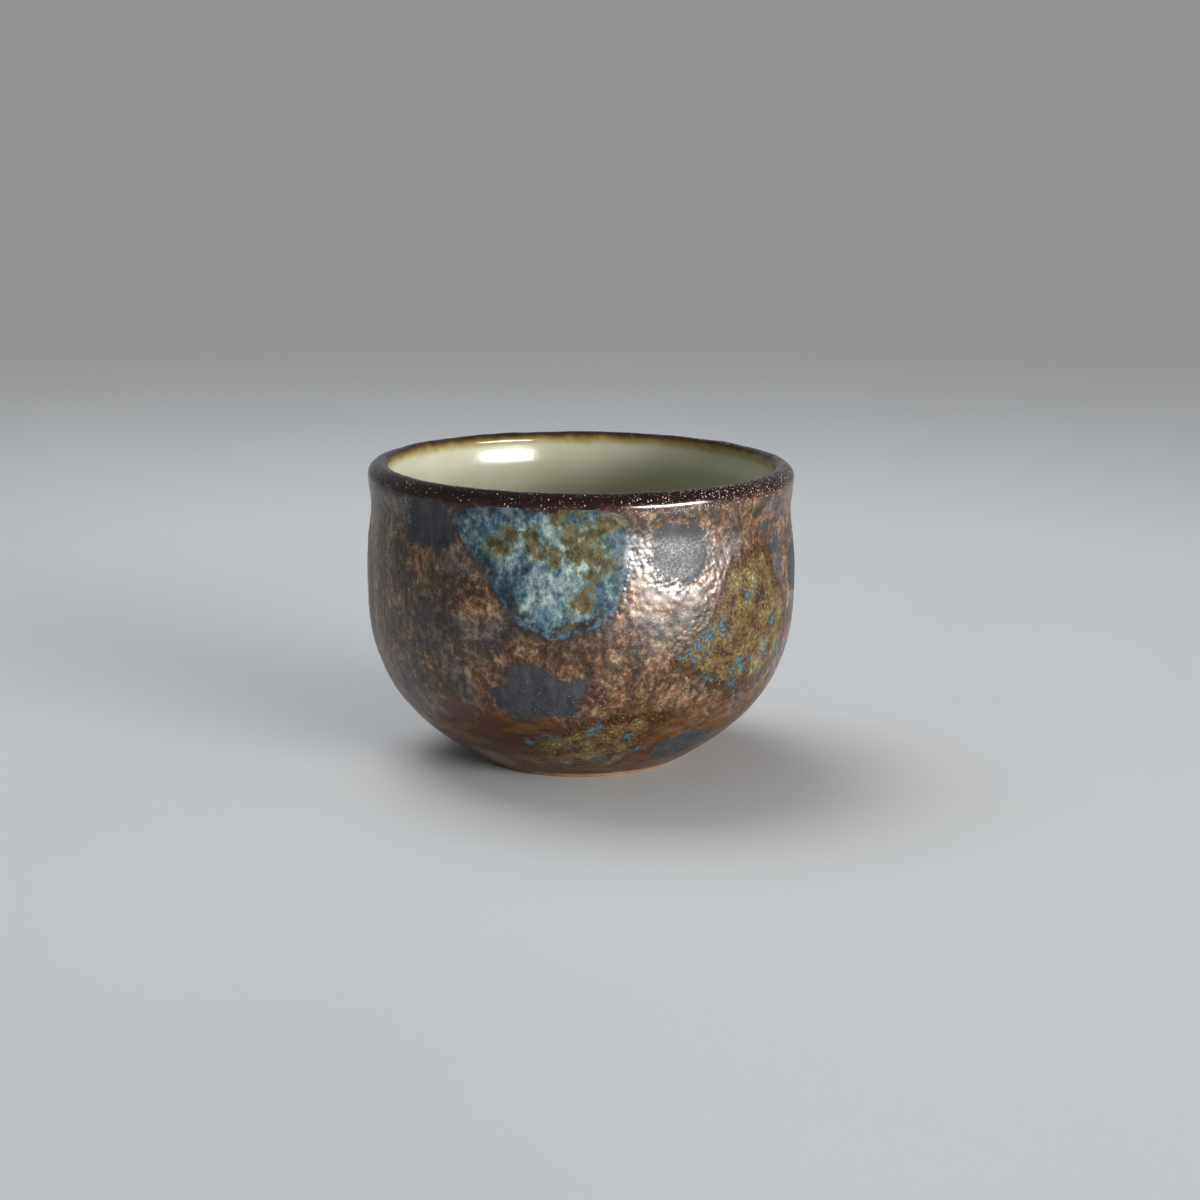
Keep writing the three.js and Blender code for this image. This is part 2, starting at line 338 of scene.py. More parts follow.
def depth_in_patch(node, points):
    ends = patch_outline(node)
    low, high = ends.min(axis=(0, 1)) - LOOK_AROUND, ends.max(axis=(0, 1)) + LOOK_AROUND
    near = np.flatnonzero(((points > low) & (points < high)).all(axis=1))
    depth = np.full(len(points), -1.0)
    solid = BVHTree.FromObject(nodes[node], bpy.context.evaluated_depsgraph_get())
    start, along = ends[:, 0], ends[:, 1] - ends[:, 0]
    length = (along * along).sum(axis=1)
    for rows in np.array_split(near, max(1, len(near) // 2000)):
        reach = points[rows][:, None] - start
        share = np.clip((reach * along).sum(axis=2) / length, 0, 1)
        gap = np.linalg.norm(reach - along * share[..., None], axis=2).min(axis=1)
        covered = np.array([solid.find_nearest(point)[3] for point in points[rows]]) < 1.8 * SEAT_GAP
        depth[rows] = np.where(covered, gap, -gap)
    return depth


print("margin kept round a patch, mm:", MARGIN / MM)


# %% Separate the sheets of the patches
def select_faces(piece, chosen):
    pick(piece)
    bpy.context.tool_settings.mesh_select_mode = (False, False, True)
    piece.data.vertices.foreach_set("select", np.zeros(len(piece.data.vertices), dtype=bool))
    piece.data.edges.foreach_set("select", np.zeros(len(piece.data.edges), dtype=bool))
    piece.data.polygons.foreach_set("select", chosen)
    bpy.ops.object.mode_set(mode="EDIT")


outer_points = places(outer_glaze)
outer_faces = np.array([polygon.vertices[:] for polygon in outer_glaze.data.polygons])
face_normals = np.empty(len(outer_faces) * 3)
outer_glaze.data.polygons.foreach_get("normal", face_normals)
face_middles = outer_points[outer_faces].mean(axis=1)
outward = (face_normals.reshape(-1, 3) * face_middles * (1, 1, 0)).sum(axis=1) > 0
patch_nodes = sorted(name for name in nodes if "_patch_" in name)
patches = {}
depths = np.array([depth_in_patch(node, outer_points) for node in patch_nodes])
nearest_patch = depths[:, outer_faces].mean(axis=2).argmax(axis=0)
for number, node in enumerate(patch_nodes):
    inside = (depths[number][outer_faces] > -MARGIN).all(axis=1) & outward & (nearest_patch == number)
    select_faces(outer_glaze, inside)
    before = set(bpy.data.objects)
    bpy.ops.mesh.duplicate()
    bpy.ops.mesh.separate(type="SELECTED")
    bpy.ops.object.mode_set(mode="OBJECT")
    sheet = (set(bpy.data.objects) - before).pop()
    sheet.name = sheet.data.name = node + "_skin"
    patches[node] = sheet
    print(node, "faces", len(sheet.data.polygons))

# %% Lift the patches
PATCH_LIFT = {"cloud": 0.25 * MM, "olive": 0.13 * MM, "slate": 0.08 * MM}
CLEAR_OF_COAT = 0.03 * MM


def normals_of(piece):
    flat = np.empty(len(piece.data.vertices) * 3, dtype=np.float32)
    piece.data.vertex_normals.foreach_get("vector", flat)
    return flat.reshape(-1, 3)


def keep_value(piece, name, values):
    layer = piece.data.attributes.new(name, "FLOAT", "POINT")
    layer.data.foreach_set("value", np.asarray(values, dtype=np.float32))


def kind_of(node):
    return node.split("_")[0]


for node, sheet in patches.items():
    select_faces(sheet, np.ones(len(sheet.data.polygons), dtype=bool))
    bpy.ops.mesh.subdivide(number_cuts=1)
    bpy.ops.object.mode_set(mode="OBJECT")
    points = places(sheet)
    depth = depth_in_patch(node, points)
    keep_value(sheet, "depth", depth / MM)
    rise = CLEAR_OF_COAT + PATCH_LIFT[kind_of(node)] * ease(depth, -0.6 * MM, 1.6 * MM)
    move_to(sheet, points + normals_of(sheet) * rise[:, None])
print("patches lifted:", len(patches))

# %% [markdown]
# ## Spots inside the patches
# Iron broke through the cloud glaze in a few brown islands, and the olive glaze gathered in blue
# pools. Where they lie is a choice, like dabs with a brush, so they are listed one by one: degrees round
# from the front, height and radius in millimetres. The mesh keeps how far each point lies inside a
# dab. The back can't be seen in the photograph, so its spots are set in the manner of the front.

# %% Dab the spots
IRON_SPOTS = [
    (-12, 72, 4.2), (-8, 69, 4.2), (1, 70.5, 6.5), (5, 67.5, 4.5), (-2, 73, 4.5), (3, 63, 4),
    (0.5, 56.5, 4), (8, 77, 4.5), (-4, 80.5, 5), (-18, 73, 3), (-22, 70, 3.5), (1, 59, 3),
]
BLUE_POOLS = [
    (47, 35, 7.5), (56, 39, 5.5), (45, 29, 6.5), (48, 54, 5), (39, 46.5, 5), (28, 40.5, 6.5),
    (31, 42, 7), (35, 45, 6), (57, 31.5, 5.5), (60, 46, 4), (36, 33, 4.5), (66, 36, 4.5),
]
FOOT_POOLS = [
    (4, 20, 6), (-10, 17, 5.5), (-17, 15.5, 5), (6, 9.5, 5), (-5, 14, 4), (14, 17, 4), (20, 12, 4),
    (-24, 18, 4),
]
BACK_IRON = [
    (158, 70, 4.5), (163, 66, 5.5), (170, 68, 4), (174, 61, 4.5), (167, 58, 4), (178, 71, 3.5),
    (156, 62, 3), (171, 51, 3),
]
LEFT_POOLS = [
    (-112, 38, 6), (-106, 44, 5), (-88, 35, 6.5), (-93, 52, 5), (-101, 57, 4.5), (-84, 46, 5.5),
    (-97, 33, 5), (-115, 51, 4.5),
]
BACK_FOOT_POOLS = [
    (-160, 18, 6), (-172, 14, 5.5), (-148, 15, 5), (-181, 10, 4.5), (-155, 9, 4.5), (-166, 21, 4)
]
SPOTS = {
    "cloud_patch_front": IRON_SPOTS, "olive_patch_right": BLUE_POOLS, "olive_patch_foot_front": FOOT_POOLS,
    "cloud_patch_back": BACK_IRON, "olive_patch_left": LEFT_POOLS, "olive_patch_foot_back": BACK_FOOT_POOLS,
}


def wall_point(turn, height):
    outside = fine_skin[fine_stops < crest]
    radius = np.interp(height * MM, outside[:, 1], outside[:, 0])
    angle = math.radians(turn)
    return np.array((radius * math.sin(angle), -radius * math.cos(angle), height * MM))


for node, sheet in patches.items():
    points = places(sheet)
    spot = np.full(len(points), -1.0)
    for turn, height, reach in SPOTS.get(node, []):
        apart = np.linalg.norm(points - wall_point(turn, height), axis=1) / MM
        spot = np.maximum(spot, 1 - apart / reach)
    keep_value(sheet, "spot", spot)
print("spots set:", sum(len(dabs) for dabs in SPOTS.values()))

# %% [markdown]
# ## The thrower's hand
# Nothing thrown by hand is quite true. The lip of this bowl leans by half a degree, lower on the
# right, and its wall swells and draws in by a hair. All the pieces take the same lean, each on
# its own mesh, so that they stay together.

# %% Lean and swell
LEAN = 0.0096
SWELL = 0.12 * MM


def lean_at(height):
    return LEAN * ease(height, 30 * MM, 84 * MM)


pieces = [clay_body, lining_glaze, rim_glaze, outer_glaze, *patches.values()]
for piece in pieces:
    points = places(piece)
    angle = np.arctan2(points[:, 1], points[:, 0])
    radius = np.maximum(np.hypot(points[:, 0], points[:, 1]), MM)
    points[:, 2] -= lean_at(points[:, 2]) * points[:, 0]
    swell = SWELL * (np.sin(2 * angle + 0.6) + 0.6 * np.sin(3 * angle + 2.1) + 0.4 * np.sin(7 * angle))
    points[:, :2] *= 1 + (swell * ease(points[:, 2], 2 * MM, 30 * MM) / radius)[:, None]
    move_to(piece, points)
print("pieces leaned:", len(pieces))

# %% [markdown]
# ## Grain in the surface
# The outer coat crystallised into a sugary grain that a finger can feel. Its coarse part is real
# relief: a Displace modifier with a clouds texture, held back by a vertex group where a patch
# lies smooth over it. The finer part is too small for the mesh and comes from the finish. Last,
# a Solidify modifier gives the lifted sheets of the patches their thickness.

# %% Displace the outer coat
GRAIN = 0.3 * MM
LUMPS = 0.35 * MM


def clouds(name, size):
    texture = bpy.data.textures.new(name, "CLOUDS")
    texture.noise_scale = size
    texture.noise_depth = 1
    return texture


grain_texture = clouds("sugar_grain", 1.3 * MM)
soft_texture = clouds("soft_lumps", 9 * MM)


def displace(piece, texture, strength, weights):
    pick(piece)
    relief = piece.modifiers.new("relief", "DISPLACE")
    relief.texture = texture
    relief.texture_coords = "LOCAL"
    relief.strength = strength
    group = piece.vertex_groups.new(name=texture.name)
    for index, weight in enumerate(weights):
        group.add([index], float(weight), "REPLACE")
    relief.vertex_group = group.name
    bpy.ops.object.modifier_apply(modifier=relief.name)


def lump_weight(points):
    return ease(points[:, 2], 4 * MM, 14 * MM) * (1 - ease(points[:, 2], 72 * MM, 79 * MM))


def grain_weight(points):
    return ease(points[:, 2], 12 * MM, 30 * MM) * (1 - ease(points[:, 2], 76 * MM, 80 * MM))


displace(outer_glaze, soft_texture, LUMPS, lump_weight(places(outer_glaze)))
displace(outer_glaze, grain_texture, GRAIN, grain_weight(places(outer_glaze)))
print("relief on", outer_glaze.name)

# %% Displace the lip and the patches
RIM_LUMPS = 0.4 * MM
GRAIN_LEFT = {"cloud": 0.1, "olive": 0.5, "slate": 0.05}
SHEET_WALL = 0.3 * MM


def past_crest(points):
    """Millimetres past the crest of the lip, along the section."""
    radius, height = np.hypot(points[:, 0], points[:, 1]), points[:, 2]
    height = height + lean_at(height) * points[:, 0]
    measure = np.empty(len(points))
    for start in range(0, len(points), 4000):
        rows = slice(start, start + 4000)
        gaps = (radius[rows, None] - fine_skin[:, 0]) ** 2 + (height[rows, None] - fine_skin[:, 1]) ** 2
        measure[rows] = fine_stops[gaps.argmin(axis=1)] - crest
    return measure / MM


def read_value(piece, name):
    values = np.empty(len(piece.data.vertices), dtype=np.float32)
    piece.data.attributes[name].data.foreach_get("value", values)
    return values


from_seams = np.clip(past_crest(places(rim_glaze)) * MM + crest, rim_seam, lining_seam)
from_seams = np.minimum(from_seams - rim_seam, lining_seam - from_seams)
displace(rim_glaze, soft_texture, RIM_LUMPS, ease(from_seams, 0.3 * MM, 3 * MM))
for node, sheet in patches.items():
    displace(sheet, soft_texture, LUMPS, lump_weight(places(sheet)))
    left = 1 - (1 - GRAIN_LEFT[kind_of(node)]) * ease(read_value(sheet, "depth"), -0.5, 0.8)
    displace(sheet, grain_texture, GRAIN, grain_weight(places(sheet)) * left)
    wall = sheet.modifiers.new("wall", "SOLIDIFY")
    wall.thickness = SHEET_WALL
    wall.offset = -1
    bpy.ops.object.modifier_apply(modifier=wall.name)
print("relief on", rim_glaze.name, "and patches:", len(patches))

# %% Smooth shading, and the measure past the crest
for piece in pieces:
    pick(piece)
    bpy.ops.object.shade_smooth_by_angle(angle=math.radians(50))
for piece in (rim_glaze, lining_glaze):
    keep_value(piece, "past_crest", past_crest(places(piece)))
print("smoothed:", len(pieces))

# %% [markdown]
# ## Finishes
# All finishes are mixed from the same few things: noise at several sizes, cells for crystals and
# grit, and soft steps between colours. They could be painted as images, but nodes have no seams
# and stay sharp from near. Small helpers place the nodes. Sizes are given in millimetres on the
# bowl, because Object coordinates are in metres.

# %% Helpers for node trees
MM_PER_METRE = 1000.0


def place(tree, kind, inputs=None, **settings):
    node = tree.nodes.new(kind)
    for name, value in settings.items():
        setattr(node, name, value)
    for name, value in (inputs or {}).items():
        if isinstance(value, bpy.types.NodeSocket):
            tree.links.new(value, node.inputs[name])
        else:
            node.inputs[name].default_value = value
    return node


def calc(tree, operation, first, second=0.0, third=0.0):
    return place(tree, "ShaderNodeMath", {0: first, 1: second, 2: third}, operation=operation).outputs[0]


def noise(tree, where, size, detail=2.0, rough=0.5, warp=0.0):
    settings = {"Vector": where, "Scale": MM_PER_METRE / size, "Detail": detail, "Roughness": rough}
    return place(tree, "ShaderNodeTexNoise", {**settings, "Distortion": warp}).outputs["Fac"]


def swing(tree, *settings):
    """Noise that swings about nought."""
    return calc(tree, "SUBTRACT", noise(tree, *settings), 0.5)


def cells(tree, where, per_metre):
    return place(tree, "ShaderNodeTexVoronoi", {"Vector": where, "Scale": per_metre})


def chance_in(tree, pattern):
    """One random number for each cell."""
    return place(tree, "ShaderNodeSeparateColor", {0: pattern.outputs["Color"]}).outputs[0]


def step(tree, value, low, high, start=0.0, end=1.0):
    """A soft step: start below low, end above high."""
    settings = {"Value": value, "From Min": low, "From Max": high, "To Min": start, "To Max": end}
    return place(tree, "ShaderNodeMapRange", settings, interpolation_type="SMOOTHSTEP").outputs["Result"]


def shift(tree, mask, below, above):
    return place(tree, "ShaderNodeMix", {0: mask, 2: below, 3: above}, data_type="FLOAT").outputs[0]


print("helpers made for numbers")


# %% Helpers for colours, places and groups
def with_alpha(colour):
    return (*colour, 1) if isinstance(colour, tuple) else colour


def blend(tree, mask, below, above):
    inputs = {0: mask, 6: with_alpha(below), 7: with_alpha(above)}
    return place(tree, "ShaderNodeMix", inputs, data_type="RGBA").outputs[2]


def ramp(tree, value, stops):
    node = place(tree, "ShaderNodeValToRGB", {"Fac": value})
    while len(node.color_ramp.elements) < len(stops):
        node.color_ramp.elements.new(1.0)
    for element, (position, colour) in zip(node.color_ramp.elements, stops):
        element.position = position
        element.color = with_alpha(colour)
    return node.outputs["Color"]


def object_place(tree):
    return place(tree, "ShaderNodeTexCoord").outputs["Object"]


def stretched(tree, where, scale, moved=(0, 0, 0)):
    settings = {0: where, 1: scale, 2: moved}
    return place(tree, "ShaderNodeVectorMath", settings, operation="MULTIPLY_ADD").outputs[0]


def height_of(tree, where):
    metres = place(tree, "ShaderNodeSeparateXYZ", {0: where}).outputs["Z"]
    return calc(tree, "MULTIPLY", metres, MM_PER_METRE)


def new_group(name, inputs, outputs):
    tree = bpy.data.node_groups.new(name, "ShaderNodeTree")
    for socket in inputs:
        tree.interface.new_socket(socket, in_out="INPUT", socket_type="NodeSocketFloat")
    for socket in outputs:
        kind = "NodeSocketColor" if socket == "Color" else "NodeSocketFloat"
        tree.interface.new_socket(socket, in_out="OUTPUT", socket_type=kind)
    entry = tree.nodes.new("NodeGroupInput")
    return tree, entry.outputs, lambda values: place(tree, "NodeGroupOutput", values)


def use(tree, group, inputs=None):
    return place(tree, "ShaderNodeGroup", inputs, node_tree=group).outputs


print("helpers made for colours, places and groups")

# %% [markdown]
# ### Grit
# White grit in the dark lip is partly real grit and partly painted glints; elsewhere the same dots
# make painted glints, iron specks and sand. A cell pattern has one point in each cell: a dot is drawn
# where the distance to that point is small, and a random number for each cell leaves most of them
# out. A group does this once for all the finishes.

# %% Group: grit
grit, given, finish = new_group("grit", ["Cell", "Dot", "Share"], ["Mask"])
spots = cells(grit, object_place(grit), calc(grit, "DIVIDE", MM_PER_METRE, given["Cell"]))
reach = calc(grit, "DIVIDE", given["Dot"], given["Cell"])
dot = step(grit, calc(grit, "DIVIDE", spots.outputs["Distance"], reach), 0.6, 1.1, 1.0, 0.0)
kept = calc(grit, "LESS_THAN", chance_in(grit, spots), given["Share"])
finish({"Mask": calc(grit, "MULTIPLY", dot, kept)})
print("group made:", grit.name)


def strewn(tree, cell, size, share):
    return use(tree, grit, {"Cell": cell, "Dot": size, "Share": share})["Mask"]


# %% [markdown]
# ### The bronze coat
# An iron glaze that broke into crystals: dark umber between them, rust, gold and dull mauve on
# their faces, with blots of navy, wine and pink, and a few pale dots that are painted glints.
# Towards the foot the coat ran thin, and is smooth, red and amber. At the lip it is nearly black and
# smoother, with white grit in it that is partly real grit and partly painted glints, strewn more
# thickly towards the right, the side that the window lights.
# Every outside finish contains this group, so that a patch can run out into exactly the coat that
# lies beside it.

# %% Bronze: the crystals
UMBER = (0.011, 0.006, 0.003)
RUSTY = [
    (0.32, UMBER), (0.47, (0.045, 0.019, 0.008)), (0.62, (0.15, 0.064, 0.025)), (0.84, (0.38, 0.225, 0.125))
]
GOLDEN = [
    (0.32, UMBER), (0.47, (0.04, 0.022, 0.009)), (0.62, (0.135, 0.08, 0.031)), (0.84, (0.43, 0.31, 0.185))
]
MAUVE = [
    (0.32, UMBER), (0.5, (0.04, 0.027, 0.022)), (0.68, (0.125, 0.094, 0.085)), (0.86, (0.25, 0.2, 0.175))
]
CRYSTAL = 0.55
GLAZE_OUTPUTS = ["Color", "Roughness", "Height", "Gloss"]
bronze, _, finish = new_group("bronze_coat", [], GLAZE_OUTPUTS + ["Lustre"])
where = object_place(bronze)
height = height_of(bronze, where)
drift = noise(bronze, where, 15, 3)
clump = noise(bronze, stretched(bronze, where, (1, 1, 0.75)), 1.7, 4, 0.58)
crystal = cells(bronze, where, MM_PER_METRE / CRYSTAL)
facet = calc(bronze, "MULTIPLY", chance_in(bronze, crystal), 0.15)
fleck = calc(bronze, "MULTIPLY_ADD", clump, 0.96, facet)
fleck = calc(bronze, "MULTIPLY_ADD", swing(bronze, where, 8, 4, 0.6), 0.8, fleck)
gilded = step(bronze, noise(bronze, where, 7, 3), 0.42, 0.6)
warm = blend(bronze, gilded, ramp(bronze, fleck, RUSTY), ramp(bronze, fleck, GOLDEN))
grainy = blend(bronze, step(bronze, drift, 0.5, 0.64), warm, ramp(bronze, fleck, MAUVE))
pit = step(bronze, noise(bronze, where, 0.7, 2), 0.37, 0.29)
grainy = blend(bronze, calc(bronze, "MULTIPLY", pit, 0.6), grainy, UMBER)
print("crystals:", len(bronze.nodes), "nodes")

# %% Bronze: the thin coat, blots and painted glints
AMBER = (0.125, 0.054, 0.012)
PINK = (0.18, 0.105, 0.075)
THIN = [(0.3, (0.07, 0.02, 0.012)), (0.44, (0.06, 0.028, 0.014)), (0.56, AMBER), (0.7, PINK)]
STREAKS_MOVED = (0.04, 0, 0.01)
NAVY = (0.024, 0.03, 0.042)
WINE = (0.075, 0.02, 0.016)
BLOTS = [
    (63, 66, 3.5, NAVY), (57, 71, 2.5, NAVY), (65, 60, 2.5, NAVY), (203, 40, 4.0, NAVY),
    (-38, 23, 5.0, WINE), (-28, 20, 4.0, WINE), (148, 22, 6.0, WINE), (-38, 6, 5.0, PINK),
]
PAINTED_GLINT = (0.55, 0.46, 0.34)
streak = noise(bronze, stretched(bronze, where, (1, 1, 3.0), STREAKS_MOVED), 13, 5, 0.62)
mealy = noise(bronze, where, 0.9, 3, 0.6)
thin = blend(bronze, step(bronze, mealy, 0.56, 0.7, 0.0, 0.6), ramp(bronze, streak, THIN), UMBER)
thinness = step(bronze, calc(bronze, "MULTIPLY_ADD", drift, 30.0, height), 30.0, 44.0, 1.0, 0.0)
colour = blend(bronze, thinness, grainy, thin)
for turn, blot_height, blot_reach, blot_colour in BLOTS:
    ends = {0: where, 1: wall_point(turn, blot_height)}
    apart = place(bronze, "ShaderNodeVectorMath", ends, operation="DISTANCE").outputs["Value"]
    near = calc(bronze, "MULTIPLY_ADD", clump, 7.0, calc(bronze, "MULTIPLY", apart, MM_PER_METRE))
    blot = step(bronze, near, blot_reach + 2.2, blot_reach + 4.2, 0.85, 0.0)
    colour = blend(bronze, blot, colour, blot_colour)
# Pale dots of painted glint: light caught by crystals, drawn into the colour.
painted_glint_dots = strewn(bronze, 1.0, 0.17, 0.1)
colour = blend(bronze, calc(bronze, "MULTIPLY", painted_glint_dots, 0.6), colour, PAINTED_GLINT)
print("blots:", len(BLOTS), "nodes:", len(bronze.nodes))

# %% Bronze: the gritty lip, with painted glints
LIP = (0.016, 0.006, 0.005)
LIP_EDGE = (0.07, 0.022, 0.013)
GRIT_AND_GLINT_WHITE = (0.72, 0.64, 0.56)
lip_edge = calc(bronze, "MULTIPLY_ADD", noise(bronze, where, 4.5, 4, 0.6), 5.0, height)
lip = step(bronze, lip_edge, 81.6, 82.6)
lip_core = step(bronze, lip_edge, 82.3, 84.2)
colour = blend(bronze, lip, colour, blend(bronze, lip_core, LIP_EDGE, LIP))
# The white specks are partly real grit and partly painted glints, strewn more thickly towards +X, the side
# the window lights.
x_toward_window = place(bronze, "ShaderNodeSeparateXYZ", {0: where}).outputs["X"]
share = step(bronze, x_toward_window, -0.01, 0.05, 0.22, 0.8)
fine_grit_and_glints = calc(bronze, "MULTIPLY", strewn(bronze, 0.55, 0.15, share), 0.55)
grit_and_glints = calc(bronze, "MAXIMUM", strewn(bronze, 0.95, 0.24, share), fine_grit_and_glints)
lip_grit_and_glints = calc(bronze, "MULTIPLY", grit_and_glints, step(bronze, height, 76.0, 80.5))
colour = blend(bronze, calc(bronze, "MULTIPLY", lip_grit_and_glints, 0.75), colour, GRIT_AND_GLINT_WHITE)
print("lip: nodes", len(bronze.nodes))

# %% Bronze: relief and gloss
relief = calc(bronze, "MULTIPLY", calc(bronze, "SUBTRACT", 0.9, crystal.outputs["Distance"]), 0.07)
relief = calc(bronze, "MULTIPLY_ADD", noise(bronze, where, 0.6, 2), 0.15, relief)
relief = calc(bronze, "MULTIPLY_ADD", pit, -0.08, relief)
calm = calc(bronze, "MAXIMUM", thinness, lip)
relief = calc(bronze, "MULTIPLY", relief, shift(bronze, calm, 1.0, 0.2))
relief = calc(bronze, "MULTIPLY_ADD", lip_grit_and_glints, 0.07, relief)
gloss = shift(bronze, lip, shift(bronze, thinness, 0.48, 0.06), 0.26)
lustre = shift(bronze, calm, step(bronze, fleck, 0.55, 0.85, 0.0, 0.15), 0.0)
rough = shift(bronze, lip_core, shift(bronze, calm, 0.36, 0.25), 0.14)
finish({"Color": colour, "Roughness": rough, "Height": relief, "Gloss": gloss, "Lustre": lustre})
print("group made:", bronze.name)

# %% [markdown]
# ### Ragged edges
# A glaze that runs over another one ends in a torn line. The depth inside the patch is shaken by
# coarse and fine noise before it is cut, so the edge frays at both sizes. Each glaze says how
# much, and how softly it is cut.

# %% Group: run edge
run_edge, given, finish = new_group("run_edge", ["Depth", "Coarse", "Fine", "Soft"], ["Shaken", "Mask"])
where = object_place(run_edge)
shaken = calc(run_edge, "MULTIPLY_ADD", swing(run_edge, where, 5.5, 2), given["Coarse"], given["Depth"])
shaken = calc(run_edge, "MULTIPLY_ADD", swing(run_edge, where, 1.3, 4, 0.7), given["Fine"], shaken)
below_edge = calc(run_edge, "MULTIPLY", given["Soft"], -1.0)
finish({"Shaken": shaken, "Mask": step(run_edge, shaken, below_edge, given["Soft"])})
print("group made:", run_edge.name)


def value_kept(tree, name):
    return place(tree, "ShaderNodeAttribute", attribute_name=name).outputs["Fac"]


def edge_of(tree, coarse, fine, soft):
    depth = value_kept(tree, "depth")
    return use(tree, run_edge, {"Depth": depth, "Coarse": coarse, "Fine": fine, "Soft": soft})


# %% [markdown]
# ### From groups to finishes
# The glassy skin of a glaze is the shader's coat layer, and the glaze under it the base. A real
# glaze mirrors about four hundredths of the light. Both layers together do that here: the base
# has a low index, so that dark glaze stays dark, and the coat a high one.

# %% Finish with a principled shader
OUTSIDE_IOR = 1.2
OUTSIDE_COAT_ROUGH = 0.3
OUTSIDE_COAT_IOR = 1.8


def new_finish(name, coat_rough=OUTSIDE_COAT_ROUGH, ior=OUTSIDE_IOR, coat_ior=OUTSIDE_COAT_IOR):
    material = bpy.data.materials.new(name)
    material.use_nodes = True
    tree = material.node_tree
    shader = tree.nodes["Principled BSDF"]
    shader.inputs["Coat Roughness"].default_value = coat_rough
    shader.inputs["IOR"].default_value = ior
    shader.inputs["Coat IOR"].default_value = coat_ior
    return material, tree, shader


def wire(tree, shader, colour, rough, relief):
    """Relief is given in millimetres."""
    tree.links.new(colour, shader.inputs["Base Color"])
    tree.links.new(rough, shader.inputs["Roughness"])
    bump = place(tree, "ShaderNodeBump", {"Height": relief, "Strength": 1.0, "Distance": MM})
    tree.links.new(bump.outputs["Normal"], shader.inputs["Normal"])


def wire_over_coat(tree, shader, mask, colour, rough, relief, gloss, darkened_margin=None):
    """A glaze over the bronze coat, which shows wherever the mask is black, darker where the darkened
    margin is set.
    """
    coat = use(tree, bronze)
    coat_colour = coat["Color"]
    if darkened_margin is not None:
        coat_colour = blend(tree, darkened_margin, coat_colour, UMBER)
    tree.links.new(shift(tree, mask, coat["Gloss"], gloss), shader.inputs["Coat Weight"])
    tree.links.new(shift(tree, mask, coat["Lustre"], 0.0), shader.inputs["Metallic"])
    mixed_rough = shift(tree, mask, coat["Roughness"], rough)
    mixed_relief = shift(tree, mask, coat["Height"], relief)
    wire(tree, shader, blend(tree, mask, coat_colour, colour), mixed_rough, mixed_relief)


def dress(piece, material, node):
    piece.data.materials.clear()
    piece.data.materials.append(material)
    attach(piece, "root")
    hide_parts(node)
    print(node, "wears", material.name)


bronze_finish, tree, shader = new_finish("bronze_glaze_finish")
coat = use(tree, bronze)
tree.links.new(coat["Gloss"], shader.inputs["Coat Weight"])
tree.links.new(coat["Lustre"], shader.inputs["Metallic"])
wire(tree, shader, coat["Color"], coat["Roughness"], coat["Height"])
dress(outer_glaze, bronze_finish, "outer_glaze")

# %% [markdown]
# ### The lining
# A pale celadon cream, smooth, with a soft gloss, faint clouds and a few iron specks. At the lip it
# thins over the dark glaze and turns amber, then olive. How far past the crest a point lies is
# kept on the mesh, so the ring follows the leaning lip. The rim takes the same group beyond its
# crest, so that the two pieces meet unseen.

# %% Group: lining
CREAM = [(0.3, (0.44, 0.435, 0.325)), (0.55, (0.49, 0.485, 0.37)), (0.75, (0.52, 0.515, 0.40))]
LIP_RING = [
    (0.16, (0.02, 0.012, 0.006)), (0.27, (0.075, 0.045, 0.01)), (0.36, (0.2, 0.145, 0.035)),
    (0.5, (0.34, 0.305, 0.155)), (0.72, (0.49, 0.48, 0.36)),
]
IRON_SPECK = (0.2, 0.15, 0.08)
RING_WIDTH = 8.0
lining, given, finish = new_group("lining_cream", ["Past crest"], GLAZE_OUTPUTS)
where = object_place(lining)
cloud = noise(lining, where, 18, 3)
iron = calc(lining, "MULTIPLY", strewn(lining, 6.0, 0.3, 0.4), 0.4)
cream = blend(lining, iron, ramp(lining, cloud, CREAM), IRON_SPECK)
reach = calc(lining, "MULTIPLY_ADD", swing(lining, where, 4, 4, 0.6), 1.8, given["Past crest"])
across = {"Value": reach, "From Min": 0.0, "From Max": RING_WIDTH}
ring = ramp(lining, place(lining, "ShaderNodeMapRange", across).outputs["Result"], LIP_RING)
colour = blend(lining, step(lining, reach, 3.6, 6.5), ring, cream)
ripple = calc(lining, "MULTIPLY", noise(lining, where, 8, 2), 0.16)
rough = shift(lining, cloud, 0.16, 0.26)
gloss = shift(lining, cloud, 0.16, 0.04)
finish({"Color": colour, "Roughness": rough, "Height": ripple, "Gloss": gloss})
print("group made:", lining.name)

# %% Lining and lip
SMOOTH_COAT_ROUGH = 0.14
LINING_IOR = 1.28
LINING_COAT_IOR = 1.5
lining_finish, tree, shader = new_finish(
    "lining_glaze_finish", SMOOTH_COAT_ROUGH, LINING_IOR, LINING_COAT_IOR
)
coat = use(tree, lining, {"Past crest": value_kept(tree, "past_crest")})
tree.links.new(coat["Gloss"], shader.inputs["Coat Weight"])
wire(tree, shader, coat["Color"], coat["Roughness"], coat["Height"])
dress(lining_glaze, lining_finish, "lining_glaze")

rim_finish, tree, shader = new_finish("rim_glaze_finish", SMOOTH_COAT_ROUGH)
measure = value_kept(tree, "past_crest")
inner = use(tree, lining, {"Past crest": measure})
within = step(tree, measure, 0.6, 1.6)
wire_over_coat(tree, shader, within, inner["Color"], inner["Roughness"], inner["Height"], inner["Gloss"])
dress(rim_glaze, rim_finish, "rim_glaze")
